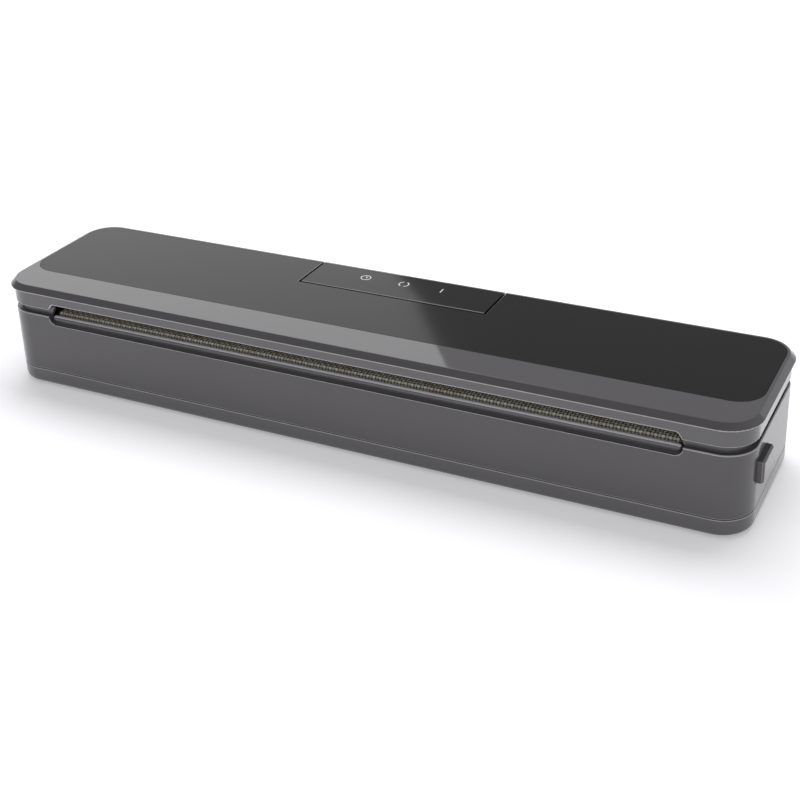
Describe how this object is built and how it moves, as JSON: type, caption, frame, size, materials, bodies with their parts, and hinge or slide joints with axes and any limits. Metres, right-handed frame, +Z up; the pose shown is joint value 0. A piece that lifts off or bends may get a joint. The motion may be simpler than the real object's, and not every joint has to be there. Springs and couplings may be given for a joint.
{
  "type": "vacuum sealer",
  "caption": "Long low vacuum sealer for film bags: hinged lid with gloss top and arched bag mouth, fixed touch control block at the back, release buttons on the end walls.",
  "frame": {"origin": "on the ground under the middle of the housing", "axes": "+X along the length to the right end, +Y to the back, +Z up"},
  "size_m": [0.386, 0.0868, 0.055],
  "materials": {
    "body_plastic": "satin moulded ABS, dark grey",
    "lid_plastic": "satin moulded ABS, dark grey",
    "panel_gloss": "gloss black panel",
    "inner_plastic": "matt black moulding",
    "button_plastic": "satin dark grey",
    "seal_foam": "closed-cell foam",
    "pressure_silicone": "silicone rubber",
    "heater_insulator": "phenolic bar",
    "heating_alloy": "resistance strip",
    "woven_tape": "coated glass weave",
    "circuit_board": "solder mask",
    "core_steel": "laminated sheet",
    "coil_copper": "enamelled winding",
    "motor_steel": "drawn can",
    "pump_plastic": "natural nylon",
    "foot_rubber": "matt rubber",
    "hose_silicone": "silicone tube",
    "switch_plastic": "black moulding",
    "plunger_plastic": "coloured moulding",
    "pin_steel": "ground pin",
    "screw_steel": "blackened",
    "spring_steel": "spring wire"
  },
  "bodies": {
    "housing": {"base_tray": "body_plastic", "main_housing": "body_plastic", "drip_tray": "inner_plastic", "lower_gasket": "seal_foam", "heater_bar": "heater_insulator", "heating_wire": "heating_alloy", "sealing_tape": "woven_tape", "control_block": "lid_plastic", "control_panel": "panel_gloss", "touch_board": "circuit_board", "main_board": "circuit_board", "transformer_core": "core_steel", "transformer_coil": "coil_copper", "pump_motor": "motor_steel", "pump_head": "pump_plastic", "pump_mounts": "foot_rubber", "air_hose": "hose_silicone", "chamber_nozzle": "pump_plastic", "lid_switch": "switch_plastic", "hinge_pins": "pin_steel", "power_inlet": "switch_plastic", "rubber_feet": "foot_rubber", "base_screws": "screw_steel", "block_screws": "screw_steel", "button_spring_right": "spring_steel", "button_spring_left": "spring_steel"},
    "lid": {"lid_frame": "lid_plastic", "lid_panel": "panel_gloss", "inner_cover": "inner_plastic", "upper_gasket": "seal_foam", "pressure_strip": "pressure_silicone", "lid_hooks": "inner_plastic", "hinge_arms": "inner_plastic", "lid_screws": "screw_steel"},
    "right_button": {"release_button_right": "button_plastic"},
    "left_button": {"release_button_left": "button_plastic"},
    "plunger": {"switch_plunger": "plunger_plastic"}
  },
  "joints": [
    {"name": "lid_hinge", "type": "hinge", "parent": "housing", "child": "lid", "pos_m": [0, 0.036, 0.036], "axis": [-1, 0, 0], "range_deg": [0, 80]},
    {"name": "right_button_press", "type": "slide", "parent": "housing", "child": "right_button", "axis": [-1, 0, 0], "range_m": [0, 0.0025], "stiffness_N_per_m": 600, "springref_m": -0.002, "deforming": ["button_spring_right"]},
    {"name": "left_button_press", "type": "slide", "parent": "housing", "child": "left_button", "axis": [1, 0, 0], "range_m": [0, 0.0025], "stiffness_N_per_m": 600, "springref_m": -0.002, "deforming": ["button_spring_left"]},
    {"name": "switch_plunger_press", "type": "slide", "parent": "housing", "child": "plunger", "axis": [0, 0, -1], "range_m": [0, 0.001], "stiffness_N_per_m": 400, "springref_m": -0.001}
  ]
}
